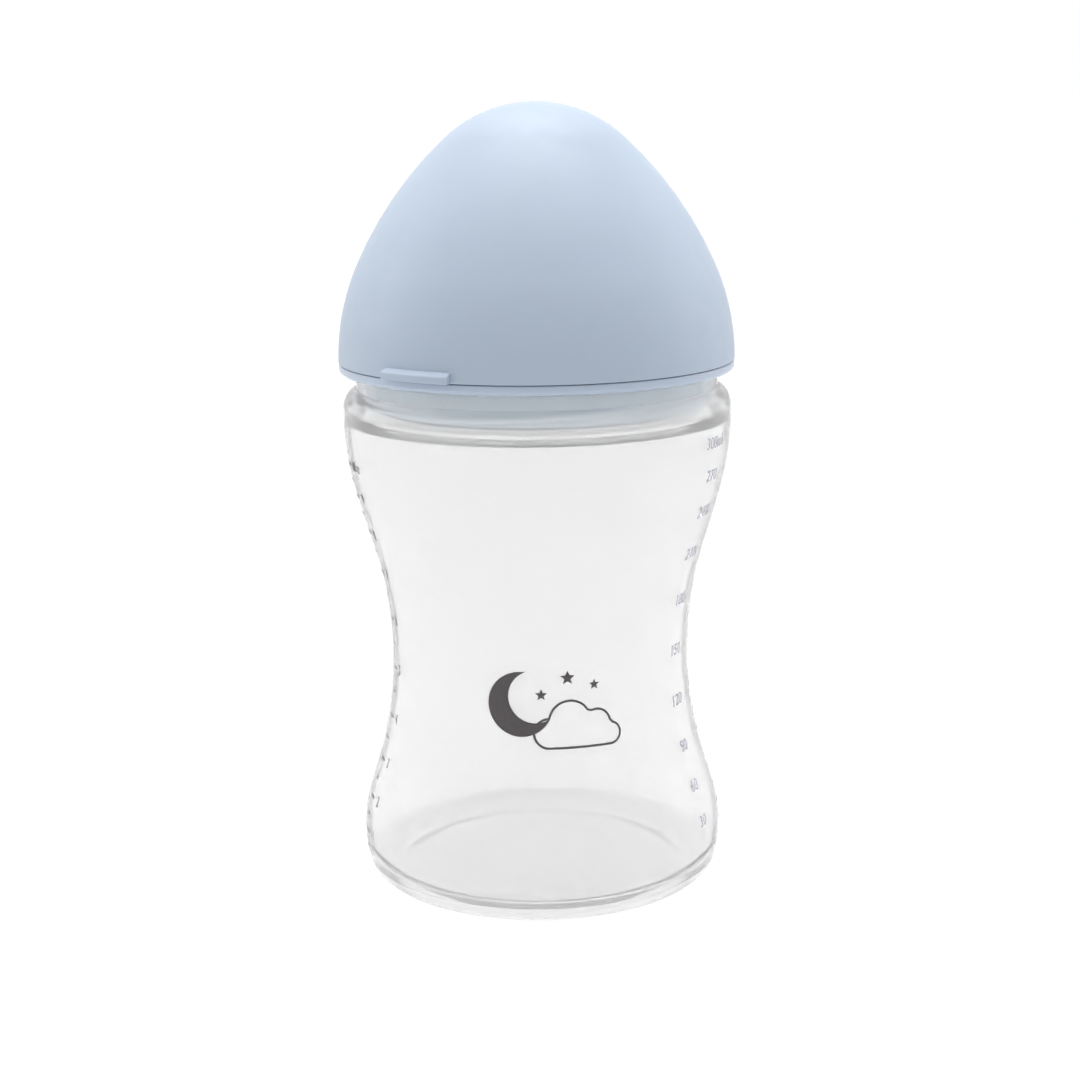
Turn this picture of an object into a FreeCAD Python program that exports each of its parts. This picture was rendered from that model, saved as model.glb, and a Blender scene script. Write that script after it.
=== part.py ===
import FreeCAD, Part
import math
import os

import Sketcher

# Baby bottle with an internally threaded wide mouth.  The origin is the centre of
# the base, +Z runs up the axis, -Y is the front.  All lengths are in millimetres.
DIMENSIONS = {
    # bottle, outside
    "lower_bulge_radius": 37.3,
    "lower_bulge_height": 10.1,
    "lower_bulge_curve": 27.9,
    "waist_radius": 30.6,
    "waist_height": 47.8,
    "waist_curve": 78.0,
    "upper_bulge_radius": 39.35,
    "upper_bulge_height": 97.2,
    "upper_bulge_curve": 60.0,
    "base_corner": 6.0,
    "shoulder_corner": 4.0,
    "shoulder_top": 103.0,
    "neck_radius": 36.6,
    "lip_height": 105.6,
    "wall": 1.25,
    # push-up in the base
    "standing_ring_radius": 29.6,
    "outer_step_radius": 26.4,
    "outer_step_rise": 1.1,
    "middle_step_radius": 18.9,
    "middle_step_rise": 1.6,
    "centre_step_radius": 14.7,
    "centre_step_rise": 2.3,
    "step_slope": 0.5,
    "floor_height": 3.7,
    "floor_corner": 5.0,
    # mouth
    "mouth_radius": 35.65,
    "ledge_radius": 33.0,
    "ledge_top": 97.9,
    "ledge_bottom": 96.9,
    "ledge_foot": 96.2,
    # thread, three starts, right-handed
    "thread_lead": 9.0,
    "thread_depth": 0.9,
    "thread_bite": 0.6,
    "thread_root": 0.75,
    "thread_crest": 0.4,
    "thread_starts": 3.0,
    "collar_thread_height": 99.9,
    "collar_thread_turn": 56.0,
    "bottle_thread_height": 100.0,
    "bottle_thread_turn": 80.0,
    "bottle_thread_azimuth": 64.0,
    # screw collar
    "skirt_radius": 34.5,
    "skirt_bottom": 99.0,
    "collar_bore": 32.6,
    "flange_radius": 39.9,
    "flange_bottom": 106.0,
    "flange_top": 107.9,
    "flange_edge": 0.6,
    "upstand_radius": 36.5,
    "upstand_top": 113.0,
    "upstand_edge": 0.6,
    "collar_bead": 0.7,
    "collar_bead_height": 111.3,
    "bead_slope": 0.7,
    # dome cap
    "dome_base": 108.05,
    "dome_radius": 40.0,
    "dome_top": 159.0,
    "dome_tip_curve": 26.35,
    "dome_flank_curve": 75.6,
    "dome_foot_curve": 46.4,
    "dome_wall": 1.5,
    "dome_bead_radius": 37.4,
    "dome_bead_height": 109.7,
    # thumb tab on the dome cap
    "tab_radius": 41.5,
    "tab_height": 2.4,
    "tab_face": 1.5,
    "tab_edge": 0.25,
    "tab_root": 39.2,
    "tab_turn": 22.1,
    "tab_azimuth": 224.2,
    # teat
    "teat_flange_radius": 34.45,
    "teat_flange_bottom": 98.0,
    "teat_flange_top": 98.9,
    "teat_radius": 32.2,
    "teat_shoulder_height": 107.5,
    "teat_breast_curve": 24.5,
    "teat_neck_radius": 7.4,
    "teat_neck_height": 137.6,
    "teat_neck_curve": 6.0,
    "teat_tip_curve": 7.8,
    "teat_tip_height": 141.2,
    "teat_wall": 1.7,
    "teat_hole": 0.45,
    "vent_radius": 0.6,
    "vent_offset": 33.5,
}

# ends of a sketch's pieces, and the sketch's own two axes
START = 1
END = 2
CENTRE = 3
ON_BASE = -1
ON_Z_AXIS = -2
FREE = "free"

doc = FreeCAD.newDocument("baby_bottle")
sheet = doc.addObject("Spreadsheet::Sheet", "dims")
for row, (alias, length) in enumerate(DIMENSIONS.items(), start=1):
    sheet.set(f"A{row}", alias)
    sheet.set(f"B{row}", str(length))
    sheet.setAlias(f"B{row}", alias)
doc.recompute()


def terms(text):
    """Split a sum such as 'lip_height - wall' into (sign, word) pairs."""
    sign = 1
    for word in text.split():
        if word in "+-":
            sign = 1 if word == "+" else -1
        else:
            yield sign, word


def size(text):
    return sum(sign * DIMENSIONS[word] for sign, word in terms(text))


def bound(text):
    return " ".join(("+ " if sign > 0 else "- ") + "dims." + word
                    for sign, word in terms(text)).removeprefix("+ ")


# ---- outlines: corners and bends joined by straight tangent lines -------------

def corner(radius, height, touches=False):
    """A sharp corner.  None puts it on the axis or on the base plane, and touches
    means that the next stretch is a bend that starts right there."""
    place = (size(radius) if radius else 0.0, size(height) if height else 0.0)
    return {"centre": place, "turn": 0.0, "words": (radius, height), "touches": touches}


def bend(centre, curve, hollow=False, words=None, touches=False):
    """A round stretch about centre, which words bind to the sheet.  A hollow one
    curves the other way; touches joins it to the next stretch with no line."""
    turn = -size(curve) if hollow else size(curve)
    return {"centre": centre, "turn": turn, "curve": curve, "words": words, "touches": touches}


def corner_on(curve, radius, height, touches=False):
    """A corner on a bend, at a radius or at a height; the other one is FREE."""
    cx, cz = curve["centre"]
    if radius is FREE:
        across = math.sqrt(curve["turn"] ** 2 - (size(height) - cz) ** 2)
        place = (cx + across, size(height))
    else:
        across = size(radius) if radius else 0.0
        place = (across, cz + math.sqrt(curve["turn"] ** 2 - (across - cx) ** 2))
    return {"centre": place, "turn": 0.0, "words": (radius, height), "touches": touches}


def reverse(stretches):
    """The same bends walked the other way, down the inside of a wall.  The last
    of them then touches what follows only if the first list's last one did."""
    joins = [stretch["touches"] for stretch in stretches]
    turned = [dict(stretch, turn=-stretch["turn"]) for stretch in reversed(stretches)]
    for stretch, join in zip(turned, reversed([joins[-1]] + joins[:-1])):
        stretch["touches"] = join
    return turned


def joint_points(first, second):
    """End of the first stretch and start of the second, where both are tangent."""
    (x1, z1), (x2, z2) = first["centre"], second["centre"]
    if first["touches"] and not first["turn"]:
        return (x1, z1), (x1, z1)
    if first["touches"] and not second["turn"]:
        return (x2, z2), (x2, z2)
    dx, dz = x2 - x1, z2 - z1
    apart = math.hypot(dx, dz)
    change = second["turn"] - first["turn"]
    if first["touches"]:
        nx, nz = dx / change, dz / change
    else:
        lean = math.acos(change / apart)
        nx = (dx * math.cos(lean) - dz * math.sin(lean)) / apart
        nz = (dx * math.sin(lean) + dz * math.cos(lean)) / apart
    return ((x1 - first["turn"] * nx, z1 - first["turn"] * nz),
            (x2 - second["turn"] * nx, z2 - second["turn"] * nz))


def hold(sketch, index, end, words):
    """Bind a point of the sketch to the radius and height that words name."""
    for kind, text, axis in (("DistanceX", words[0], ON_Z_AXIS), ("DistanceY", words[1], ON_BASE)):
        if text is None:
            sketch.addConstraint(Sketcher.Constraint("PointOnObject", index, end, axis))
        elif text is not FREE:
            number = sketch.addConstraint(
                Sketcher.Constraint(kind, -1, START, index, end, size(text)))
            sketch.setExpression(f"Constraints[{number}]", bound(text))


def arc_piece(sketch, stretch, start, end):
    """Add a bend's arc and return its index and the ends where it starts and leaves."""
    cx, cz = stretch["centre"]
    left = stretch["turn"] > 0
    first, last = (start, end) if left else (end, start)
    circle = Part.Circle(FreeCAD.Vector(cx, cz, 0), FreeCAD.Vector(0, 0, 1), abs(stretch["turn"]))
    angles = [math.atan2(point[1] - cz, point[0] - cx) for point in (first, last)]
    index = sketch.addGeometry(Part.ArcOfCircle(circle, *angles), False)
    number = sketch.addConstraint(Sketcher.Constraint("Radius", index, abs(stretch["turn"])))
    sketch.setExpression(f"Constraints[{number}]", bound(stretch["curve"]))
    if stretch["words"]:
        hold(sketch, index, CENTRE, stretch["words"])
    return (index, START, END) if left else (index, END, START)


def draw(sketch, stretches):
    """Draw the closed outline, anticlockwise, and bind it to the sheet."""
    joints = [joint_points(one, two)
              for one, two in zip(stretches, stretches[1:] + stretches[:1])]
    pieces = []
    waiting = None
    for i, stretch in enumerate(stretches):
        if stretch["turn"]:
            piece = arc_piece(sketch, stretch, joints[i - 1][1], joints[i][0])
            pieces.append((piece, waiting))
            waiting = None
        else:
            waiting = stretch["words"]
        if not stretch["touches"]:
            ends = [FreeCAD.Vector(*point, 0) for point in joints[i]]
            index = sketch.addGeometry(Part.LineSegment(*ends), False)
            pieces.append(((index, START, END), waiting))
            waiting = None
    for (before, _), (after, words) in zip(pieces[-1:] + pieces[:-1], pieces):
        kind = "Coincident" if words else "Tangent"
        sketch.addConstraint(
            Sketcher.Constraint(kind, before[0], before[2], after[0], after[1]))
        if words:
            hold(sketch, after[0], after[1], words)


# ---- bodies -------------------------------------------------------------------

def new_body(label):
    body = doc.addObject("PartDesign::Body", label)
    body.Label = label
    body.Placement = FreeCAD.Placement()
    return body


def new_sketch(body, name, plane="XZ_Plane", azimuth=None):
    """A sketch on one of the body's planes, turned about Z by an azimuth cell."""
    sketch = body.newObject("Sketcher::SketchObject", name)
    role = [item for item in body.Origin.OriginFeatures if item.Role == plane]
    sketch.AttachmentSupport = (role[0], "")
    sketch.MapMode = "FlatFace"
    if azimuth:
        spin = FreeCAD.Rotation(FreeCAD.Vector(0, 1, 0), DIMENSIONS[azimuth])
        sketch.AttachmentOffset = FreeCAD.Placement(FreeCAD.Vector(), spin)
        sketch.setExpression("AttachmentOffset.Rotation.Angle", f"dims.{azimuth}")
    return sketch


def revolve(body, name, stretches, azimuth=None, turn=None):
    sketch = new_sketch(body, name + "_outline", azimuth=azimuth)
    draw(sketch, stretches)
    feature = body.newObject("PartDesign::Revolution", name)
    feature.Profile = sketch
    feature.ReferenceAxis = (sketch, ["V_Axis"])
    feature.Angle = DIMENSIONS[turn] if turn else 360.0
    if turn:
        feature.setExpression("Angle", f"dims.{turn}")
    doc.recompute()


def thread(body, name, section, turn, azimuth=None):
    """Sweep one ridge along the thread's helix and repeat it for every start."""
    sketch = new_sketch(body, name + "_section", azimuth=azimuth)
    draw(sketch, section)
    ridge = body.newObject("PartDesign::AdditiveHelix", name)
    ridge.Profile = sketch
    ridge.ReferenceAxis = (sketch, ["V_Axis"])
    ridge.Mode = "pitch-turns-angle"
    ridge.HasBeenEdited = True
    ridge.Pitch = DIMENSIONS["thread_lead"]
    ridge.Turns = DIMENSIONS[turn] / 360.0
    ridge.setExpression("Pitch", "dims.thread_lead")
    ridge.setExpression("Turns", f"dims.{turn} / 360")
    doc.recompute()
    pattern = body.newObject("PartDesign::PolarPattern", name + "_starts")
    pattern.Originals = [ridge]
    pattern.Axis = (sketch, ["V_Axis"])
    pattern.Angle = 360.0
    pattern.Occurrences = int(DIMENSIONS["thread_starts"])
    pattern.setExpression("Occurrences", "dims.thread_starts")
    body.Tip = pattern
    doc.recompute()


def ridge_section(root, crest, height):
    """A trapezium that starts a bite inside the wall that the ridge stands on."""
    inwards = crest.startswith(root + " -")
    deep = f"{root} + thread_bite" if inwards else f"{root} - thread_bite"
    places = [
        corner(deep, f"{height} - thread_root"),
        corner(crest, f"{height} - thread_crest"),
        corner(crest, f"{height} + thread_crest"),
        corner(deep, f"{height} + thread_root"),
    ]
    return places[::-1] if inwards else places


# ---- bottle body --------------------------------------------------------------

def wall_curves(inset):
    """The three big curves of the bottle's wall, moved inwards by an inset."""
    curves = []
    for name in ("lower_bulge", "waist", "upper_bulge"):
        hollow = name == "waist"
        axis = f"{name}_radius + {name}_curve" if hollow else f"{name}_radius - {name}_curve"
        centre = (size(axis), size(f"{name}_height"))
        inner = f" + {inset}" if hollow else f" - {inset}"
        curve = f"{name}_curve" + (inner if inset else "")
        curves.append(bend(centre, curve, hollow, (axis, f"{name}_height")))
    return curves


def rounding(curve, height, beside, touches=False):
    """A bend of its own height, tangent to the inside of the curve beside it."""
    reach = abs(beside["turn"]) - size(curve)
    cx, cz = beside["centre"]
    across = math.sqrt(reach ** 2 - (size(height) - cz) ** 2)
    return bend((cx + across, size(height)), curve, words=(FREE, height), touches=touches)


def make_bottle():
    body = new_body("bottle_body")
    underside = [corner(None, "centre_step_rise")]
    for ring, below in (("centre", "middle"), ("middle", "outer")):
        underside.append(corner(f"{ring}_step_radius", f"{ring}_step_rise"))
        underside.append(corner(f"{ring}_step_radius + step_slope", f"{below}_step_rise"))
    underside.append(corner("outer_step_radius", "outer_step_rise"))
    underside.append(corner("standing_ring_radius", None))

    outside = wall_curves("")
    outside[-1]["touches"] = True
    base = rounding("base_corner", "base_corner", outside[0], touches=True)
    shoulder = rounding("shoulder_corner", "shoulder_top - shoulder_corner", outside[-1],
                        touches=True)

    inside = wall_curves("wall")
    floor = rounding("floor_corner", "floor_height + floor_corner", inside[0], touches=True)
    mouth = [
        corner_on(shoulder, "neck_radius", FREE),
        corner("neck_radius", "lip_height"),
        corner("mouth_radius", "lip_height"),
        corner("mouth_radius", "ledge_top"),
        corner("ledge_radius", "ledge_top"),
        corner("ledge_radius", "ledge_bottom"),
        corner_on(inside[-1], FREE, "ledge_foot", touches=True),
    ]
    revolve(body, "bottle_wall", underside + [base] + outside + [shoulder] + mouth
            + reverse([floor] + inside) + [corner(None, "floor_height")])
    ridge = ridge_section("mouth_radius", "mouth_radius - thread_depth", "bottle_thread_height")
    thread(body, "mouth_thread", ridge, "bottle_thread_turn", "bottle_thread_azimuth")
    return body


# ---- screw collar -------------------------------------------------------------

def make_collar():
    body = new_body("screw_collar")
    revolve(body, "collar_ring", [
        corner("collar_bore", "skirt_bottom"),
        corner("skirt_radius", "skirt_bottom"),
        corner("skirt_radius", "flange_bottom"),
        corner("flange_radius - flange_edge", "flange_bottom"),
        corner("flange_radius", "flange_bottom + flange_edge"),
        corner("flange_radius", "flange_top"),
        corner("upstand_radius", "flange_top"),
        corner("upstand_radius", "collar_bead_height - bead_slope"),
        corner("upstand_radius + collar_bead", "collar_bead_height"),
        corner("upstand_radius", "collar_bead_height + bead_slope"),
        corner("upstand_radius", "upstand_top - upstand_edge"),
        corner("upstand_radius - upstand_edge", "upstand_top"),
        corner("collar_bore", "upstand_top"),
    ])
    ridge = ridge_section("skirt_radius", "skirt_radius + thread_depth", "collar_thread_height")
    thread(body, "skirt_thread", ridge, "collar_thread_turn")
    return body


# ---- dome cap -----------------------------------------------------------------

def crossing(one, reach_one, two, reach_two):
    """Where two circles meet, taking the place with the smaller radius."""
    dx, dz = two[0] - one[0], two[1] - one[1]
    apart = math.hypot(dx, dz)
    along = (apart ** 2 + reach_one ** 2 - reach_two ** 2) / (2 * apart)
    aside = math.sqrt(reach_one ** 2 - along ** 2)
    places = [(one[0] + (dx * along - side * dz * aside) / apart,
               one[1] + (dz * along + side * dx * aside) / apart) for side in (1, -1)]
    return min(places)


def dome_curves(inset):
    """Foot, flank and tip of the egg, from the base up to the axis."""
    less = f" - {inset}" if inset else ""
    foot_words = ("dome_radius - dome_foot_curve", "dome_base")
    tip_words = (None, "dome_top - dome_tip_curve")
    foot = tuple(size(text) for text in foot_words)
    tip = (0.0, size(tip_words[1]))
    flank = crossing(foot, size("dome_flank_curve - dome_foot_curve"),
                     tip, size("dome_flank_curve - dome_tip_curve"))
    return [
        bend(foot, "dome_foot_curve" + less, words=foot_words, touches=True),
        bend(flank, "dome_flank_curve" + less, touches=True),
        bend(tip, "dome_tip_curve" + less, words=tip_words, touches=True),
    ]


def make_dome():
    body = new_body("dome_cap")
    outside = dome_curves("")
    inside = dome_curves("dome_wall")
    bead_top = "dome_bead_height + bead_slope"
    revolve(body, "dome_shell", [
        corner("dome_radius - dome_wall", "dome_base"),
        corner_on(outside[0], FREE, "dome_base", touches=True),
        *outside,
        corner_on(outside[-1], None, FREE),
        corner_on(inside[-1], None, FREE, touches=True),
        *reverse(inside),
        corner_on(inside[0], FREE, bead_top),
        corner("dome_bead_radius", "dome_bead_height"),
        corner("dome_radius - dome_wall", "dome_bead_height - bead_slope"),
    ])
    revolve(body, "thumb_tab", [
        corner("tab_root", "dome_base"),
        corner("tab_radius - tab_edge", "dome_base"),
        corner("tab_radius", "dome_base + tab_edge"),
        corner("tab_radius", "dome_base + tab_face"),
        corner("tab_root", "dome_base + tab_height"),
    ], "tab_azimuth", "tab_turn")
    return body


# ---- teat ---------------------------------------------------------------------

def teat_curves(inset):
    """Breast, hollow neck and round tip, from the shoulder up."""
    less = f" - {inset}" if inset else ""
    more = f" + {inset}" if inset else ""
    shapes = (
        ("teat_radius - teat_breast_curve", "teat_shoulder_height", "teat_breast_curve" + less, False),
        ("teat_neck_radius + teat_neck_curve", "teat_neck_height", "teat_neck_curve" + more, True),
        (None, "teat_tip_height", "teat_tip_curve" + less, False),
    )
    return [bend((size(axis) if axis else 0.0, size(height)), curve, hollow, (axis, height))
            for axis, height, curve, hollow in shapes]


def make_teat():
    body = new_body("teat")
    outside = teat_curves("")
    inside = teat_curves("teat_wall")
    outside[-1]["touches"] = True
    revolve(body, "teat_wall", [
        corner("teat_radius - teat_wall", "teat_flange_bottom"),
        corner("teat_flange_radius", "teat_flange_bottom"),
        corner("teat_flange_radius", "teat_flange_top"),
        corner("teat_radius", "teat_flange_top"),
        *outside,
        corner_on(outside[-1], "teat_hole", FREE),
        corner_on(inside[-1], "teat_hole", FREE, touches=True),
        *reverse(inside),
    ])
    sketch = new_sketch(body, "vent_outline", plane="XY_Plane")
    circle = Part.Circle(FreeCAD.Vector(DIMENSIONS["vent_offset"], 0, 0), FreeCAD.Vector(0, 0, 1),
                         DIMENSIONS["vent_radius"])
    index = sketch.addGeometry(circle, False)
    number = sketch.addConstraint(Sketcher.Constraint("Radius", index, DIMENSIONS["vent_radius"]))
    sketch.setExpression(f"Constraints[{number}]", "dims.vent_radius")
    hold(sketch, index, CENTRE, ("vent_offset", None))
    vent = body.newObject("PartDesign::Pocket", "air_vent")
    vent.Profile = sketch
    vent.Type = "ThroughAll"
    vent.Midplane = True
    doc.recompute()
    return body


# ---- build, check and write ---------------------------------------------------

def main():
    bodies = [make_bottle(), make_teat(), make_collar(), make_dome()]
    doc.recompute()
    for item in doc.Objects:
        failed = {"Invalid", "Error"} & set(item.State)
        if failed:
            raise RuntimeError(f"{item.Name}: {', '.join(sorted(failed))}")
    os.makedirs("parts", exist_ok=True)
    for body in bodies:
        shape = body.Shape
        if shape.isNull() or not shape.isValid() or len(shape.Solids) != 1:
            raise RuntimeError(f"{body.Label}: not one valid solid")
        shape.exportStep(f"parts/{body.Label}.step")
        box = shape.optimalBoundingBox()
        print(f"{body.Label}: {shape.Volume / 1000:.2f} ml of material, "
              f"{box.XLength:.2f} x {box.YLength:.2f} x {box.ZLength:.2f} mm, "
              f"z {box.ZMin:.2f} to {box.ZMax:.2f}")


main()
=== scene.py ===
import math

import bpy
from mathutils import Matrix, Vector


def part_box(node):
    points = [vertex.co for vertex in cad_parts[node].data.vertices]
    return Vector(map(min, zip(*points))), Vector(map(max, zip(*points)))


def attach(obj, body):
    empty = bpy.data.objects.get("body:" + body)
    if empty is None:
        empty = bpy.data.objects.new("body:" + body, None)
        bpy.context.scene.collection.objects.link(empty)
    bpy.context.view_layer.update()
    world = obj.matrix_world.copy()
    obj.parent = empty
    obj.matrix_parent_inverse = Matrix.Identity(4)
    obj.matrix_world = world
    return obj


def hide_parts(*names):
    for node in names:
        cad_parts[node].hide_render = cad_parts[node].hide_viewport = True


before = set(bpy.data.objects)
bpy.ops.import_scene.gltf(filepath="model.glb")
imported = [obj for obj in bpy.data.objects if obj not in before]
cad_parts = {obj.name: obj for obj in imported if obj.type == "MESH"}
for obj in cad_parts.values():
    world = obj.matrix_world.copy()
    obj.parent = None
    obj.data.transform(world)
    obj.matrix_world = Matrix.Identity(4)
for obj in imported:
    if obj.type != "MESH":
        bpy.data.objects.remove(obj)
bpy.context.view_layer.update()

# A clear baby bottle with a pale-blue screw collar, a teat and a dome cap.  Lengths
# below are millimetres; meshes are made in metres, in the frame of the CAD model.
MM = 0.001

# ---- fineness of the meshes ---------------------------------------------------

AROUND = 256                    # points round a turned piece
ARC_STEP = math.radians(4)      # turn between points of an outline's bends
ROW = 0.16                      # height of the mesh rows that carry a thread
EDGE_STEPS = 4                  # parts of a corner's rounding
EDGE_SHARE = 0.4                # the most of either side that a rounding may take
SAME_PLACE = 1e-4               # places closer than this are one
ON_AXIS = 1e-6                  # a radius under this is on the axis

# ---- driving dimensions -------------------------------------------------------

# the bottle's wall: radius, height and curve of each stretch, from the base up
LOWER_BULGE = (37.3, 10.1, 27.9)
WAIST = (30.6, 47.8, -78.0)
UPPER_BULGE = (39.35, 97.2, 60.0)
WALL = 1.25
BASE_CORNER = 6.0
FLOOR = 3.7
FLOOR_CORNER = 5.0
MILKY_BASE = 4.2                # below this the plastic is thick and lets less through
SHOULDER_CORNER = 4.0
SHOULDER_TOP = 103.0
NECK_RADIUS = 36.6
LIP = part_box("bottle_body")[1].z / MM
MOUTH_RADIUS = 35.65
LEDGE_RADIUS = 33.0
LEDGE_TOP = 97.9
LEDGE_BOTTOM = 96.9
LEDGE_FOOT = 96.2
BOTTLE_SOFT_EDGE = 0.18         # how far the rounding of a corner reaches
# the push-up of the base: outer radius and rise of each step
BASE_STEPS = ((14.7, 2.3), (18.9, 1.6), (26.4, 1.1))
STEP_SLOPE = 0.5
STANDING_RING = 29.6
# the three-start thread
LEAD = 9.0
THREAD_STARTS = 3
THREAD_DEPTH = 0.9
THREAD_ROOT = 0.75
THREAD_CREST = 0.4
THREAD_FADE = math.radians(6)
COLLAR_THREAD = {"height": 99.9, "azimuth": 0.0, "turn": math.radians(56)}
MOUTH_THREAD = {"height": 100.0, "azimuth": math.radians(64), "turn": math.radians(80)}
# the collar
SKIRT_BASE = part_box("screw_collar")[0].z / MM
SKIRT_RADIUS = 34.5
COLLAR_BORE = 32.6
FLANGE_RADIUS = 39.9
FLANGE_BOTTOM = 106.0
FLANGE_TOP = 107.9
FLANGE_EDGE = 0.6
UPSTAND_RADIUS = 36.5
COLLAR_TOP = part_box("screw_collar")[1].z / MM
COLLAR_BEAD = 0.7
COLLAR_BEAD_HEIGHT = 111.3
COLLAR_SOFT_EDGE = 0.3
# the dome cap, with the curves of its egg from the foot up
DOME_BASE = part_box("dome_cap")[0].z / MM
DOME_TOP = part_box("dome_cap")[1].z / MM
DOME_RADIUS = 40.0
DOME_WALL = 1.5
DOME_FOOT_CURVE = 46.4
DOME_FLANK_CURVE = 75.6
DOME_TIP_CURVE = 26.35
DOME_BEAD_RADIUS = 37.4
DOME_BEAD_HEIGHT = 109.7
DOME_SOFT_EDGE = 0.3
# the dome's thumb tab
TAB_REACH = 41.5
TAB_DEPTH = 2.2
TAB_HEIGHT = 2.4
TAB_FACE = 1.5
TAB_TURN = math.radians(22.1)
TAB_AZIMUTH = math.radians(224.2)
TAB_STEPS = 48
TAB_SOFT_EDGE = 0.45
# the teat: radius, height and curve of each stretch, from the flange up
TEAT_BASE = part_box("teat")[0].z / MM
TEAT_FLANGE_RADIUS = 34.45
TEAT_FLANGE = 0.9
TEAT_BREAST = (32.2, 107.5, 24.5)
TEAT_NECK = (7.4, 137.6, -6.0)
TEAT_TIP = (7.8, 141.2, 7.8)
TEAT_WALL = 1.7
TEAT_HOLE = 0.45
TEAT_SOFT_EDGE = 0.25


# ---- outlines -----------------------------------------------------------------

def corner(radius, height, touches=False):
    """A corner of an outline; touches means a bend starts or ends right there."""
    return {"centre": (radius, height), "turn": 0.0, "touches": touches}


def bend(centre, curve, touches=False):
    """A round stretch; a negative curve is a hollow one."""
    return {"centre": centre, "turn": curve, "touches": touches}


def bulge(shape, inset=0.0, touches=False):
    """A bend named by its widest or narrowest radius, its height and its curve."""
    radius, height, curve = shape
    return bend((radius - curve, height), curve - inset, touches)


def on_bend(stretch, radius=None, height=None, touches=False):
    """A corner that lies on a bend."""
    cx, cz = stretch["centre"]
    reach = abs(stretch["turn"])
    if radius is None:
        return corner(cx + math.sqrt(reach ** 2 - (height - cz) ** 2), height, touches)
    return corner(radius, cz + math.sqrt(reach ** 2 - (radius - cx) ** 2), touches)


def rounding(curve, height, beside, touches=False):
    """A small bend at a height, tangent to the inside of the bend beside it."""
    cx, cz = beside["centre"]
    across = math.sqrt((abs(beside["turn"]) - curve) ** 2 - (height - cz) ** 2)
    return bend((cx + across, height), curve, touches)


def downwards(stretches, touches=False):
    """The same bends walked the other way."""
    turned = [dict(one, turn=-one["turn"]) for one in reversed(stretches)]
    for one, before in zip(turned, reversed(stretches[:-1])):
        one["touches"] = before["touches"]
    turned[-1]["touches"] = touches
    return turned


def tangent_points(one, two):
    """Where the straight line, or the touch, between two stretches starts and ends."""
    (x1, z1), (x2, z2) = one["centre"], two["centre"]
    if one["touches"] and not one["turn"]:
        return (x1, z1), (x1, z1)
    if one["touches"] and not two["turn"]:
        return (x2, z2), (x2, z2)
    dx, dz = x2 - x1, z2 - z1
    change = two["turn"] - one["turn"]
    if one["touches"]:
        nx, nz = dx / change, dz / change
    else:
        apart = math.hypot(dx, dz)
        lean = math.acos(change / apart)
        nx = (dx * math.cos(lean) - dz * math.sin(lean)) / apart
        nz = (dx * math.sin(lean) + dz * math.cos(lean)) / apart
    return ((x1 - one["turn"] * nx, z1 - one["turn"] * nz),
            (x2 - two["turn"] * nx, z2 - two["turn"] * nz))


def trace(stretches):
    """Points along a closed outline, each with True where it is a corner."""
    joints = [tangent_points(one, two)
              for one, two in zip(stretches, stretches[1:] + stretches[:1])]
    places = []
    for i, one in enumerate(stretches):
        start, end = joints[i - 1][1], joints[i][0]
        if not one["turn"]:
            places.append((*one["centre"], True))
            continue
        cx, cz = one["centre"]
        begin = math.atan2(start[1] - cz, start[0] - cx)
        sweep = math.atan2(end[1] - cz, end[0] - cx) - begin
        sweep = sweep % math.tau if one["turn"] > 0 else -((-sweep) % math.tau)
        parts = max(2, math.ceil(abs(sweep) / ARC_STEP))
        reach = abs(one["turn"])
        for part in range(parts + 1):
            angle = begin + sweep * part / parts
            places.append((cx + reach * math.cos(angle), cz + reach * math.sin(angle), False))
    return [place for place, before in zip(places, places[-1:] + places[:-1])
            if math.dist(place[:2], before[:2]) > SAME_PLACE or place[2]]


def soften(places, edge):
    """Round every corner off the axis with a small curve."""
    softened = []
    count = len(places)
    for i, (radius, height, sharp) in enumerate(places):
        here = Vector((radius, height))
        before = Vector(places[i - 1][:2])
        after = Vector(places[(i + 1) % count][:2])
        if not sharp or radius < edge or (before - here).length < SAME_PLACE:
            softened.append((max(radius, 0.0), height))
            continue
        reach = min(edge, EDGE_SHARE * (before - here).length, EDGE_SHARE * (after - here).length)
        first = here + (before - here).normalized() * reach
        last = here + (after - here).normalized() * reach
        for step in range(EDGE_STEPS + 1):
            t = step / EDGE_STEPS
            point = first * (1 - t) ** 2 + here * 2 * t * (1 - t) + last * t ** 2
            softened.append((point.x, point.y))
    return softened


def refine(places, low, high, reach):
    """Split the upright runs between two heights into rows, for a thread."""
    finer = []
    for place, after in zip(places, places[1:] + places[:1]):
        finer.append(place)
        level = min(place[1], after[1]) >= low - ROW and max(place[1], after[1]) <= high + ROW
        if level and abs(place[0] - reach) < ROW and abs(after[0] - reach) < ROW:
            rows = int(abs(place[1] - after[1]) / ROW)
            finer += [(place[0] + (after[0] - place[0]) * row / rows,
                       place[1] + (after[1] - place[1]) * row / rows) for row in range(1, rows)]
    return finer


# ---- meshes -------------------------------------------------------------------

def add_mesh(name, points, faces):
    """A new smooth-shaded piece."""
    mesh = bpy.data.meshes.new(name)
    mesh.from_pydata(points, [], faces)
    mesh.validate()
    mesh.update()
    mesh.shade_smooth()
    piece = bpy.data.objects.new(name, mesh)
    bpy.context.scene.collection.objects.link(piece)
    return piece


def even_normals(piece):
    """Let large faces decide the shading, so that flat places look flat."""
    normals = piece.modifiers.new("even_normals", "WEIGHTED_NORMAL")
    normals.mode = "FACE_AREA"


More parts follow.
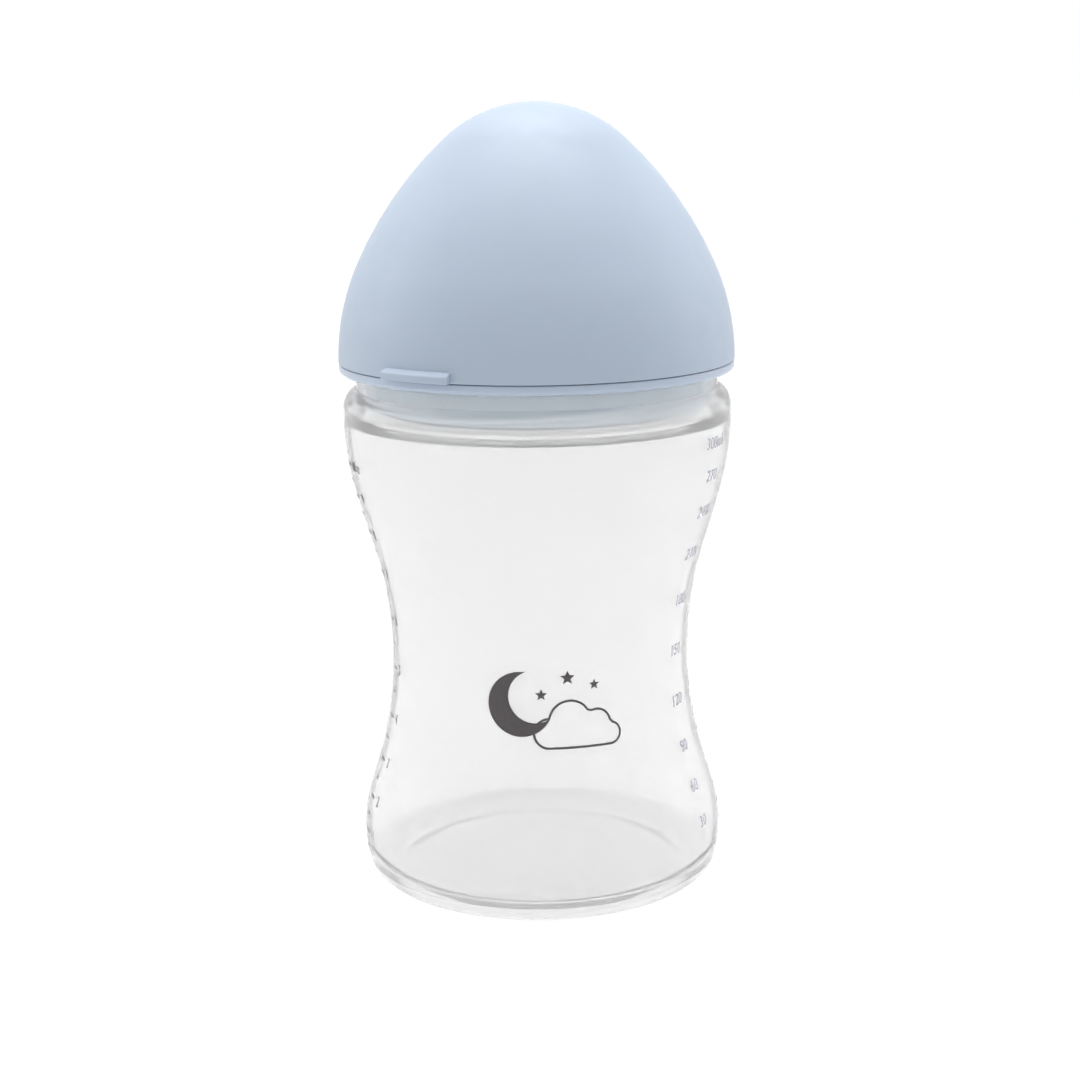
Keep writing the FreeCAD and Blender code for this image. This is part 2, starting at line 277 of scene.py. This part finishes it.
def lathe(name, places, shift=None):
    """Turn a closed outline about Z.  shift moves a point's radius by its place."""
    points, rings = [], []
    for radius, height in places:
        rings.append(len(points))
        if radius < ON_AXIS:
            points.append((0.0, 0.0, height * MM))
            continue
        for step in range(AROUND):
            angle = math.tau * step / AROUND
            reach = radius + (shift(radius, height, angle) if shift else 0.0)
            points.append((reach * math.cos(angle) * MM, reach * math.sin(angle) * MM,
                           height * MM))
    pole = [radius < ON_AXIS for radius, _ in places]
    faces = []
    for i, here in enumerate(rings):
        after = (i + 1) % len(rings)
        there = rings[after]
        for step in range(AROUND):
            turn = (step + 1) % AROUND
            if pole[i] and pole[after]:
                break
            if pole[i]:
                faces.append((here, there + turn, there + step))
            elif pole[after]:
                faces.append((here + step, here + turn, there))
            else:
                faces.append((here + step, here + turn, there + turn, there + step))
    piece = add_mesh(name, points, faces)
    even_normals(piece)
    return piece


def ridge(thread, height, angle):
    """Share of the full thread depth at a place, from 0 to 1."""
    spacing = math.tau / THREAD_STARTS
    along = (angle - thread["azimuth"] + THREAD_FADE) % spacing - THREAD_FADE
    off = abs(height - thread["height"] - LEAD * along / math.tau)
    section = (THREAD_ROOT - off) / (THREAD_ROOT - THREAD_CREST)
    ends = 1 + min(along, thread["turn"] - along) / THREAD_FADE
    return max(0.0, min(1.0, section)) * max(0.0, min(1.0, ends))


def thread_shift(thread, root, sign):
    """How a thread moves points at its root radius: outwards (1) or inwards (-1)."""
    def shift(radius, height, angle):
        if abs(radius - root) >= ROW:
            return 0.0
        return sign * THREAD_DEPTH * ridge(thread, height, angle)
    return shift


# ---- materials ----------------------------------------------------------------

NOISE_MIDDLE = (0.3, 0.7)
# how light spreads inside the soft plastics, evenly for all colours
SCATTER = {"Subsurface_Weight": 1.0, "Subsurface_Scale": 0.003, "Subsurface_Radius": (1, 1, 1)}
COLLAR_BLUE = (0.43, 0.50, 0.61)
# painted light: the skirt's paler blue stands for light let through the thin plastic; the skirt
# itself is the collar's colour
SKIRT_PAINTED_LIGHT_BLUE = (0.76, 0.88, 0.99)
SKIRT_PAINTED_LIGHT_FADE = 0.4             # height over which the skirt's painted paleness, which is painted light, gives way to the collar's colour
INK_SHADE = 0.88                # the darker of an ink's two shades


def ramp(tree, value, first, last, low, high):
    """Take a value running from first to last to one running from low to high."""
    node = tree.nodes.new("ShaderNodeMapRange")
    for name, amount in (("From Min", first), ("From Max", last), ("To Min", low), ("To Max", high)):
        node.inputs[name].default_value = amount
    tree.links.new(value, node.inputs["Value"])
    return node.outputs["Result"]


class Look:
    """A Principled material and short calls that add procedural detail to it."""

    def __init__(self, name, colour, roughness, **uniform):
        self.material = bpy.data.materials.new(name)
        self.material.use_nodes = True
        self.tree = self.material.node_tree
        self.shader = self.tree.nodes["Principled BSDF"]
        self.shader.inputs["Base Color"].default_value = (*colour, 1.0)
        self.shader.inputs["Roughness"].default_value = roughness
        for socket, amount in uniform.items():
            self.shader.inputs[socket.replace("_", " ")].default_value = amount
        self.place = self.tree.nodes.new("ShaderNodeTexCoord").outputs["Object"]

    def link(self, output, socket):
        self.tree.links.new(output, socket)

    def noise(self, scale, detail=2.0):
        node = self.tree.nodes.new("ShaderNodeTexNoise")
        node.inputs["Scale"].default_value = scale
        node.inputs["Detail"].default_value = detail
        self.link(self.place, node.inputs["Vector"])
        return node.outputs["Fac"]

    def spread(self, output, low, high):
        """Stretch a noise, which keeps near its middle, between two values."""
        return ramp(self.tree, output, *NOISE_MIDDLE, low, high)

    def blend_colour(self, share, first, second):
        mix = self.tree.nodes.new("ShaderNodeMix")
        mix.data_type = "RGBA"
        mix.inputs["A"].default_value = (*first, 1.0)
        mix.inputs["B"].default_value = (*second, 1.0)
        self.link(share, mix.inputs["Factor"])
        self.link(mix.outputs["Result"], self.shader.inputs["Base Color"])

    def vary_roughness(self, scale, low, high):
        self.link(self.spread(self.noise(scale), low, high), self.shader.inputs["Roughness"])

    def vary_colour(self, scale, first, second):
        self.blend_colour(self.spread(self.noise(scale, 3.0), 0.0, 1.0), first, second)

    def fade_colour(self, low, high, below, above):
        """Change from one colour to another between two heights."""
        split = self.tree.nodes.new("ShaderNodeSeparateXYZ")
        self.link(self.place, split.inputs["Vector"])
        share = ramp(self.tree, split.outputs["Z"], low, high, 0.0, 1.0)
        self.blend_colour(share, below, above)

    def grain(self, layers):
        """Chain bumps, each (scale, strength, depth in millimetres)."""
        normal = None
        for scale, strength, depth in layers:
            bump = self.tree.nodes.new("ShaderNodeBump")
            bump.inputs["Strength"].default_value = strength
            bump.inputs["Distance"].default_value = depth * MM
            self.link(self.noise(scale), bump.inputs["Height"])
            if normal:
                self.link(normal, bump.inputs["Normal"])
            normal = bump.outputs["Normal"]
        self.link(normal, self.shader.inputs["Normal"])


def clear_plastic(name, clearness, ior):
    """Slightly milky plastic: what isn't let through is scattered in the wall."""
    look = Look(name, (0.97, 0.97, 0.97), 0.06, IOR=ior, Transmission_Weight=clearness, **SCATTER)
    look.vary_roughness(60.0, 0.05, 0.08)
    look.grain([(28.0, 0.25, 0.12)])
    return look.material


def matte_blue():
    """The dome cap's plastic, with a fine moulded grain."""
    look = Look("matte_blue_polypropylene", (0.415, 0.491, 0.594), 0.5, IOR=1.49,
                Subsurface_Weight=0.04, Subsurface_Scale=0.002)
    look.vary_colour(70.0, (0.408, 0.484, 0.585), (0.422, 0.498, 0.603))
    look.vary_roughness(240.0, 0.44, 0.56)
    look.grain([(2600.0, 0.16, 0.06), (60.0, 0.08, 0.2)])
    return look.material


def satin_blue():
    """The collar's plastic.  Below the flange the skirt is painted paler: painted light that stands
    for the light the thin skirt lets through.
    """
    look = Look("satin_blue_polypropylene", COLLAR_BLUE, 0.34, IOR=1.49,
                **SCATTER | {"Subsurface_Weight": 0.5})
    # painted light: by height, the colour fades from the paler painted skirt blue below the flange
    # to the collar's blue
    look.fade_colour((FLANGE_BOTTOM - SKIRT_PAINTED_LIGHT_FADE) * MM, FLANGE_BOTTOM * MM,
                     SKIRT_PAINTED_LIGHT_BLUE, COLLAR_BLUE)
    look.vary_roughness(300.0, 0.28, 0.38)
    look.grain([(900.0, 0.06, 0.05)])
    return look.material


def silicone():
    """The teat's soft white, with light scattered just under its surface."""
    look = Look("teat_silicone", (0.95, 0.955, 0.95), 0.3, IOR=1.4,
                **SCATTER | {"Subsurface_Weight": 0.3, "Subsurface_Scale": 0.001})
    look.vary_colour(120.0, (0.90, 0.91, 0.91), (0.93, 0.935, 0.93))
    look.vary_roughness(200.0, 0.27, 0.35)
    return look.material


def ink(name, colour):
    darker = tuple(INK_SHADE * part for part in colour)
    look = Look(name, colour, 0.45, IOR=1.45, Specular_IOR_Level=0.1)
    look.vary_colour(1500.0, darker, colour)
    look.vary_roughness(800.0, 0.38, 0.55)
    look.grain([(3000.0, 0.2, 0.02)])
    return look.material


# ---- the bottle ---------------------------------------------------------------

def wall(inset=0.0, touches=False):
    """The three big curves, moved inwards by an inset."""
    return [bulge(LOWER_BULGE, inset), bulge(WAIST, inset), bulge(UPPER_BULGE, inset, touches)]


def inside_outline():
    """The inner wall from the ledge down to the floor's centre."""
    inside = wall(WALL)
    floor = rounding(FLOOR_CORNER, FLOOR + FLOOR_CORNER, inside[0], touches=True)
    return [on_bend(inside[-1], height=LEDGE_FOOT, touches=True),
            *downwards([floor] + inside), corner(0.0, FLOOR)]


def make_bottle():
    """The hollow body: up the outside from the base, and down the inside."""
    underside = [corner(0.0, BASE_STEPS[0][1])]
    for (radius, rise), (_, below) in zip(BASE_STEPS, BASE_STEPS[1:]):
        underside += [corner(radius, rise), corner(radius + STEP_SLOPE, below)]
    underside += [corner(*BASE_STEPS[-1]), corner(STANDING_RING, 0.0)]
    outside = wall(touches=True)
    base = rounding(BASE_CORNER, BASE_CORNER, outside[0], touches=True)
    shoulder = rounding(SHOULDER_CORNER, SHOULDER_TOP - SHOULDER_CORNER, outside[-1], touches=True)
    mouth = [on_bend(shoulder, radius=NECK_RADIUS), corner(NECK_RADIUS, LIP),
             corner(MOUTH_RADIUS, LIP), corner(MOUTH_RADIUS, LEDGE_TOP),
             corner(LEDGE_RADIUS, LEDGE_TOP), corner(LEDGE_RADIUS, LEDGE_BOTTOM)]
    places = trace(underside + [base] + outside + [shoulder] + mouth + inside_outline())
    places = soften(places, BOTTLE_SOFT_EDGE)
    places = refine(places, LEDGE_TOP, LIP, MOUTH_RADIUS)
    piece = lathe("clear_bottle", places, thread_shift(MOUTH_THREAD, MOUTH_RADIUS, -1))
    piece.data.materials.append(clear_plastic("clear_polypropylene", 0.8, 1.16))
    piece.data.materials.append(clear_plastic("milky_polypropylene", 0.5, 1.08))
    for face in piece.data.polygons:
        face.material_index = int(face.center.z < MILKY_BASE * MM)
    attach(piece, "bottle")
    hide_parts("bottle_body")


# ---- the collar ---------------------------------------------------------------

def make_collar():
    """Skirt with an outer thread, flange, and the upstand that the dome snaps over."""
    low, high = COLLAR_BEAD_HEIGHT - COLLAR_BEAD, COLLAR_BEAD_HEIGHT + COLLAR_BEAD
    places = trace([
        corner(COLLAR_BORE, SKIRT_BASE), corner(SKIRT_RADIUS, SKIRT_BASE),
        corner(SKIRT_RADIUS, FLANGE_BOTTOM), corner(FLANGE_RADIUS - FLANGE_EDGE, FLANGE_BOTTOM),
        corner(FLANGE_RADIUS, FLANGE_BOTTOM + FLANGE_EDGE), corner(FLANGE_RADIUS, FLANGE_TOP),
        corner(UPSTAND_RADIUS, FLANGE_TOP), corner(UPSTAND_RADIUS, low),
        corner(UPSTAND_RADIUS + COLLAR_BEAD, COLLAR_BEAD_HEIGHT), corner(UPSTAND_RADIUS, high),
        corner(UPSTAND_RADIUS, COLLAR_TOP), corner(COLLAR_BORE, COLLAR_TOP),
    ])
    places = soften(places, COLLAR_SOFT_EDGE)
    places = refine(places, SKIRT_BASE, FLANGE_BOTTOM, SKIRT_RADIUS)
    piece = lathe("blue_collar", places, thread_shift(COLLAR_THREAD, SKIRT_RADIUS, 1))
    piece.data.materials.append(satin_blue())
    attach(piece, "collar")
    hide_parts("screw_collar")


# ---- the dome cap -------------------------------------------------------------

def dome_curves(inset=0.0):
    """Foot, flank and tip of the egg."""
    foot = (DOME_RADIUS - DOME_FOOT_CURVE, DOME_BASE)
    tip = (0.0, DOME_TOP - DOME_TIP_CURVE)
    reach_foot = DOME_FLANK_CURVE - DOME_FOOT_CURVE
    reach_tip = DOME_FLANK_CURVE - DOME_TIP_CURVE
    dx, dz = tip[0] - foot[0], tip[1] - foot[1]
    apart = math.hypot(dx, dz)
    along = (apart ** 2 + reach_foot ** 2 - reach_tip ** 2) / (2 * apart)
    aside = math.sqrt(reach_foot ** 2 - along ** 2)
    flank = (foot[0] + (dx * along - dz * aside) / apart,
             foot[1] + (dz * along + dx * aside) / apart)
    return [bend(foot, DOME_FOOT_CURVE - inset, True), bend(flank, DOME_FLANK_CURVE - inset, True),
            bend(tip, DOME_TIP_CURVE - inset, True)]


def make_dome(material):
    """The egg-shaped shell with a bead inside its foot."""
    outside, inside = dome_curves(), dome_curves(DOME_WALL)
    inner = DOME_RADIUS - DOME_WALL
    places = trace([
        corner(inner, DOME_BASE),
        corner(DOME_RADIUS, DOME_BASE, touches=True), *outside,
        corner(0.0, DOME_TOP), corner(0.0, DOME_TOP - DOME_WALL, touches=True),
        *downwards(inside, touches=True),
        on_bend(inside[0], height=DOME_BEAD_HEIGHT + COLLAR_BEAD),
        corner(DOME_BEAD_RADIUS, DOME_BEAD_HEIGHT), corner(inner, DOME_BEAD_HEIGHT - COLLAR_BEAD),
    ])
    piece = lathe("dome_shell", soften(places, DOME_SOFT_EDGE))
    piece.data.materials.append(material)
    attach(piece, "dome")
    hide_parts("dome_cap")


def make_tab(material):
    """The thumb tab: a low bar round part of the foot, with soft edges and ends."""
    root = TAB_REACH - TAB_DEPTH
    section = [(root, 0.0), (TAB_REACH, 0.0), (TAB_REACH, TAB_FACE), (root, TAB_HEIGHT)]
    points, faces = [], []
    for step in range(TAB_STEPS + 1):
        angle = TAB_AZIMUTH + TAB_TURN * step / TAB_STEPS
        for radius, rise in section:
            points.append((radius * math.cos(angle) * MM, radius * math.sin(angle) * MM,
                           (DOME_BASE + rise) * MM))
    sides = len(section)
    for step in range(TAB_STEPS):
        for side in range(sides):
            turn = (side + 1) % sides
            here, there = step * sides, (step + 1) * sides
            faces.append((here + side, here + turn, there + turn, there + side))
    faces.append(tuple(range(sides))[::-1])
    faces.append(tuple(TAB_STEPS * sides + side for side in range(sides)))
    piece = add_mesh("thumb_tab", points, faces)
    edge = piece.modifiers.new("soft_edges", "BEVEL")
    edge.width = TAB_SOFT_EDGE * MM
    edge.segments = EDGE_STEPS
    edge.limit_method = "ANGLE"
    even_normals(piece)
    piece.data.materials.append(material)
    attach(piece, "dome")


# ---- the teat -----------------------------------------------------------------

def make_teat():
    """Flange, breast, neck and tip, with the feed hole at the top."""
    outside = [bulge(shape) for shape in (TEAT_BREAST, TEAT_NECK, TEAT_TIP)]
    inside = [bulge(shape, TEAT_WALL) for shape in (TEAT_BREAST, TEAT_NECK, TEAT_TIP)]
    outside[-1]["touches"] = True
    radius = TEAT_BREAST[0]
    places = trace([
        corner(radius - TEAT_WALL, TEAT_BASE), corner(TEAT_FLANGE_RADIUS, TEAT_BASE),
        corner(TEAT_FLANGE_RADIUS, TEAT_BASE + TEAT_FLANGE), corner(radius, TEAT_BASE + TEAT_FLANGE),
        *outside,
        on_bend(outside[-1], radius=TEAT_HOLE), on_bend(inside[-1], radius=TEAT_HOLE, touches=True),
        *downwards(inside),
    ])
    piece = lathe("soft_teat", soften(places, TEAT_SOFT_EDGE))
    piece.data.materials.append(silicone())
    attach(piece, "teat_body")
    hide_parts("teat")


# ---- printing -----------------------------------------------------------------

FILM = 0.03                     # thickness of the ink
LIFT = 0.02                     # gap that keeps the ink off the wall
FRONT = math.radians(-90)
CAPITAL_SHARE = 0.72            # height of a numeral as a share of the font's size
CUBIC_MILLIMETRES = 1000        # in one millilitre
FILL_STEP = 0.1
# both scales: marks to the top one, and length and width of a full and a half mark
MARKS = 10
TICK = (3.0, 0.4)
HALF_TICK = (1.8, 0.34)
# millilitres from mark to mark, what a mark counts, height of the numerals, where the
# marks and the numerals stand round the bottle, and how far both stand above the level
OUNCES = {"unit": "oz", "step": 28.4, "count": 1, "numeral": 2.1, "rise": 0.0,
          "marks_azimuth": math.radians(-79), "words_azimuth": math.radians(-69.5)}
MILLILITRES = {"unit": "ml", "step": 29.0, "count": 30, "numeral": 2.4, "rise": 3.6,
               "marks_azimuth": math.radians(84), "words_azimuth": math.radians(63)}
# the emblem, in millimetres from its middle
EMBLEM_AZIMUTH = math.radians(5.0)
EMBLEM_HEIGHT = 43.0
EMBLEM_STROKE = 0.45
MOON = {"centre": (-6.6, 1.2), "reach": 6.5, "bite": 5.3, "apart": 3.2, "tilt": math.radians(28)}
STARS = (((2.6, 6.3), 1.5), ((8.0, 4.6), 1.1), ((-2.6, 3.0), 1.2))
STAR_NOTCH = 0.45               # reach of a star's notches as a share of its points'
CLOUD_FOOT = -7.6
# each puff from the right: across, height over the foot, radius, first and last degree
CLOUD_PUFFS = ((11.4, 2.1, 2.1, -90, 76), (8.4, 4.3, 2.9, 10, 110),
               (3.0, 5.2, 4.1, 30, 162), (-1.2, 2.9, 2.9, 90, 268))
PUFF_STEPS = 18
FOOT_STEPS = 24


def radius_at(table, height):
    """The wall's radius at a height, between two rows of its table."""
    for (low, first), (high, last) in zip(table, table[1:]):
        if low <= height <= high and high > low:
            return first + (last - first) * (height - low) / (high - low)
    return table[-1][1]


def wall_table(inset):
    """Height and radius of places up the wall, from the floor's level to the ledge."""
    stretches = wall(inset, touches=True)
    foot = on_bend(stretches[0], height=FLOOR, touches=True)
    top = on_bend(stretches[-1], height=LEDGE_FOOT)
    axis = [corner(0.0, LEDGE_FOOT), corner(0.0, FLOOR)]
    return sorted((height, radius) for radius, height, _ in trace([foot, *stretches, top, *axis])
                  if radius)


def fill_height(millilitres, table):
    """How high that much liquid stands in the bottle."""
    wanted = millilitres * CUBIC_MILLIMETRES
    height, volume = FLOOR, 0.0
    while volume < wanted:
        to_corner = max(0.0, FLOOR + FLOOR_CORNER - height)
        radius = radius_at(table, height) - to_corner ** 2 / (2 * FLOOR_CORNER)
        volume += math.pi * radius ** 2 * FILL_STEP
        height += FILL_STEP
    return height


class Print:
    """Ink films gathered in one mesh: flat shapes wrapped round the bottle's wall."""

    def __init__(self, table):
        self.table = table
        self.points = []
        self.faces = []

    def add(self, azimuth, height, places, faces):
        """Wrap flat points, in millimetres from a centre, round the wall."""
        first = len(self.points)
        for across, up in places:
            radius = radius_at(self.table, height + up) + LIFT
            angle = FRONT + azimuth + across / radius
            self.points.append((radius * math.cos(angle) * MM, radius * math.sin(angle) * MM,
                                (height + up) * MM))
        self.faces += [tuple(first + index for index in face) for face in faces]

    def bar(self, azimuth, height, length, width, parts=6):
        """A mark that starts at an azimuth."""
        places = [(length * part / parts, side * width / 2)
                  for part in range(parts + 1) for side in (-1, 1)]
        faces = [(2 * part, 2 * part + 2, 2 * part + 3, 2 * part + 1) for part in range(parts)]
        self.add(azimuth, height, places, faces)

    def ribbon(self, azimuth, height, path, width, closed=False):
        """A stroke of even width along a path."""
        count = len(path)
        places = []
        for i, here in enumerate(path):
            before = path[i - 1] if i or closed else here
            after = path[(i + 1) % count] if i < count - 1 or closed else here
            along = Vector((after[0] - before[0], after[1] - before[1])).normalized()
            for side in (-1, 1):
                places.append((here[0] - along.y * side * width / 2,
                               here[1] + along.x * side * width / 2))
        last = count if closed else count - 1
        faces = [(2 * i, 2 * i + 1, (2 * i + 3) % (2 * count), (2 * i + 2) % (2 * count))
                 for i in range(last)]
        self.add(azimuth, height, places, [face[::-1] for face in faces])

    def text(self, azimuth, height, words, tall):
        """Words centred on a place, in Blender's own font."""
        curve = bpy.data.curves.new("words", "FONT")
        curve.body = words
        curve.align_x = "CENTER"
        curve.align_y = "CENTER"
        curve.size = tall / CAPITAL_SHARE
        holder = bpy.data.objects.new("words", curve)
        bpy.context.scene.collection.objects.link(holder)
        bpy.context.view_layer.update()
        mesh = bpy.data.meshes.new_from_object(holder)
        self.add(azimuth, height, [(point.co.x, point.co.y) for point in mesh.vertices],
                 [tuple(face.vertices) for face in mesh.polygons])
        bpy.data.objects.remove(holder)
        bpy.data.meshes.remove(mesh)
        bpy.data.curves.remove(curve)

    def finish(self, name, material):
        """Give the ink its thickness, and let it ride on the bottle."""
        piece = add_mesh(name, self.points, self.faces)
        film = piece.modifiers.new("film", "SOLIDIFY")
        film.thickness = FILM * MM
        film.offset = 1.0
        piece.data.materials.append(material)
        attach(piece, "bottle")


def make_scale(name, scale, material):
    """Marks with a number at each, half marks between, and the unit at the top one."""
    inner = wall_table(WALL)
    sheet = Print(wall_table(0.0))
    for mark in range(1, MARKS + 1):
        height = fill_height(mark * scale["step"], inner) + scale["rise"]
        half = fill_height((mark - 0.5) * scale["step"], inner) + scale["rise"]
        words = str(mark * scale["count"]) + (scale["unit"] if mark == MARKS else "")
        sheet.bar(scale["marks_azimuth"], height, *TICK)
        sheet.bar(scale["marks_azimuth"], half, *HALF_TICK)
        sheet.text(scale["words_azimuth"], height, words, scale["numeral"])
    sheet.finish(name, material)


def arc(centre, radius, first, last, parts):
    """Points along a round arc."""
    return [(centre[0] + radius * math.cos(first + (last - first) * i / parts),
             centre[1] + radius * math.sin(first + (last - first) * i / parts))
            for i in range(parts + 1)]


def star(centre, reach):
    """A five-pointed star as a fan about its centre."""
    rim = [(centre[0] + size * math.sin(math.tau * i / 10),
            centre[1] + size * math.cos(math.tau * i / 10))
           for i, size in enumerate((reach, reach * STAR_NOTCH) * 5)]
    return [centre] + rim, [(0, i + 1, (i + 1) % 10 + 1)[::-1] for i in range(10)]


def crescent(centre, reach, bite, apart, tilt, parts=40, rows=5):
    """A disc with a smaller disc bitten out of it, towards the tilt."""
    horn = math.acos((apart ** 2 + reach ** 2 - bite ** 2) / (2 * apart * reach))
    cut = (centre[0] + apart * math.cos(tilt), centre[1] + apart * math.sin(tilt))
    tip = (centre[0] + reach * math.cos(tilt + horn), centre[1] + reach * math.sin(tilt + horn))
    open_angle = math.atan2(tip[1] - cut[1], tip[0] - cut[0]) - tilt
    outer = arc(centre, reach, tilt + horn, tilt + math.tau - horn, parts)
    inner = arc(cut, bite, tilt + open_angle, tilt + math.tau - open_angle, parts)
    places = [(a[0] + (b[0] - a[0]) * row / rows, a[1] + (b[1] - a[1]) * row / rows)
              for a, b in zip(outer, inner) for row in range(rows + 1)]
    wide = rows + 1
    faces = [(i * wide + row + 1, i * wide + row, (i + 1) * wide + row, (i + 1) * wide + row + 1)
             for i in range(parts) for row in range(rows)]
    return places, faces


def cloud():
    """The outline of a cloud: round puffs over a level foot."""
    path = []
    for across, rise, reach, first, last in CLOUD_PUFFS:
        middle = (across, CLOUD_FOOT + rise)
        path += arc(middle, reach, math.radians(first), math.radians(last), PUFF_STEPS)
    left, right = path[-1], path[0]
    return path + [(left[0] + (right[0] - left[0]) * i / FOOT_STEPS, CLOUD_FOOT)
                   for i in range(1, FOOT_STEPS)]


def make_emblem(material):
    """A crescent moon and stars over an outlined cloud."""
    sheet = Print(wall_table(0.0))
    place = (EMBLEM_AZIMUTH, EMBLEM_HEIGHT)
    sheet.add(*place, *crescent(**MOON))
    for centre, reach in STARS:
        sheet.add(*place, *star(centre, reach))
    sheet.ribbon(*place, cloud(), EMBLEM_STROKE, closed=True)
    sheet.finish("moon_emblem", material)


# ---- studio -------------------------------------------------------------------

FLOOR_HALF = 12.0               # metres, as are the places and sizes of the lights
AIM = (0.0, 0.0, 0.09)
# place, width, height and power of each light
LIGHTS = {
    "overhead": ((0.0, 0.1, 0.95), 0.7, 0.7, 7.0),
    "left_side": ((-0.9, 0.25, 0.35), 0.5, 0.9, 1.6),
    "right_side": ((0.9, 0.25, 0.35), 0.5, 0.9, 1.6),
}
CAMERA_PLACE = (0.24, -430.6, 164.0)
CAMERA_LENS = 71.19
CAMERA_SENSOR = 36.0
CAMERA_DOWN = math.radians(12.28)
CAMERA_ROLL = math.radians(-0.7)


def add_light(name, place, width, height, power):
    light = bpy.data.lights.new(name, "AREA")
    light.energy = power
    light.shape = "RECTANGLE"
    light.size = width
    light.size_y = height
    lamp = bpy.data.objects.new(name, light)
    lamp.location = place
    aim = Vector(AIM) - Vector(place)
    lamp.rotation_euler = aim.to_track_quat("-Z", "Y").to_euler()
    bpy.context.scene.collection.objects.link(lamp)


def make_floor():
    """A plain pale floor with a glow of its own, which keeps it white behind the bottle."""
    half = FLOOR_HALF
    floor = add_mesh("floor", [(-half, -half, 0), (half, -half, 0), (half, half, 0),
                               (-half, half, 0)], [(0, 1, 2, 3)])
    look = Look("pale_floor", (0.15, 0.15, 0.15), 0.9, Specular_IOR_Level=0.0,
                Emission_Color=(1, 1, 1, 1), Emission_Strength=0.9)
    floor.data.materials.append(look.material)


def make_world():
    """An even white room.  What falls on matte surfaces comes mostly from above and
    behind, and less from the front."""
    world = bpy.data.worlds.new("studio")
    bpy.context.scene.world = world
    world.use_nodes = True
    tree = world.node_tree
    sky = tree.nodes["Background"]
    sky.inputs["Color"].default_value = (1.0, 1.0, 1.0, 1.0)
    direction = tree.nodes.new("ShaderNodeTexCoord").outputs["Generated"]
    split = tree.nodes.new("ShaderNodeSeparateXYZ")
    tree.links.new(direction, split.inputs["Vector"])
    back = ramp(tree, split.outputs["Y"], first=-1.0, last=0.6, low=0.22, high=0.70)
    above = ramp(tree, split.outputs["Z"], first=0.2, last=1.0, low=0.0, high=0.55)
    total = tree.nodes.new("ShaderNodeMath")
    tree.links.new(back, total.inputs[0])
    tree.links.new(above, total.inputs[1])
    path = tree.nodes.new("ShaderNodeLightPath")
    blend = tree.nodes.new("ShaderNodeMix")
    blend.inputs["A"].default_value = 1.0
    tree.links.new(path.outputs["Is Diffuse Ray"], blend.inputs["Factor"])
    tree.links.new(total.outputs["Value"], blend.inputs["B"])
    tree.links.new(blend.outputs["Result"], sky.inputs["Strength"])


def make_studio():
    make_floor()
    make_world()
    for name, settings in LIGHTS.items():
        add_light(name, *settings)


def make_camera():
    camera = bpy.data.cameras.new("camera")
    camera.sensor_width = CAMERA_SENSOR
    camera.lens = CAMERA_LENS
    camera.clip_start = 0.01
    holder = bpy.data.objects.new("camera", camera)
    turn = (Matrix.Rotation(math.radians(90) - CAMERA_DOWN, 4, "X")
            @ Matrix.Rotation(CAMERA_ROLL, 4, "Z"))
    holder.matrix_world = Matrix.Translation(Vector(CAMERA_PLACE) * MM) @ turn
    bpy.context.scene.collection.objects.link(holder)
    bpy.context.scene.camera = holder


# ---- making -------------------------------------------------------------------

make_camera()
make_studio()
bpy.context.scene.view_settings.view_transform = "Standard"
blue = matte_blue()
make_bottle()
make_collar()
make_teat()
make_dome(blue)
make_tab(blue)
make_scale("ounce_scale", OUNCES, ink("scale_ink", (0.2, 0.19, 0.21)))
make_scale("millilitre_scale", MILLILITRES, ink("pale_ink", (0.50, 0.50, 0.60)))
make_emblem(ink("dark_ink", (0.125, 0.115, 0.118)))
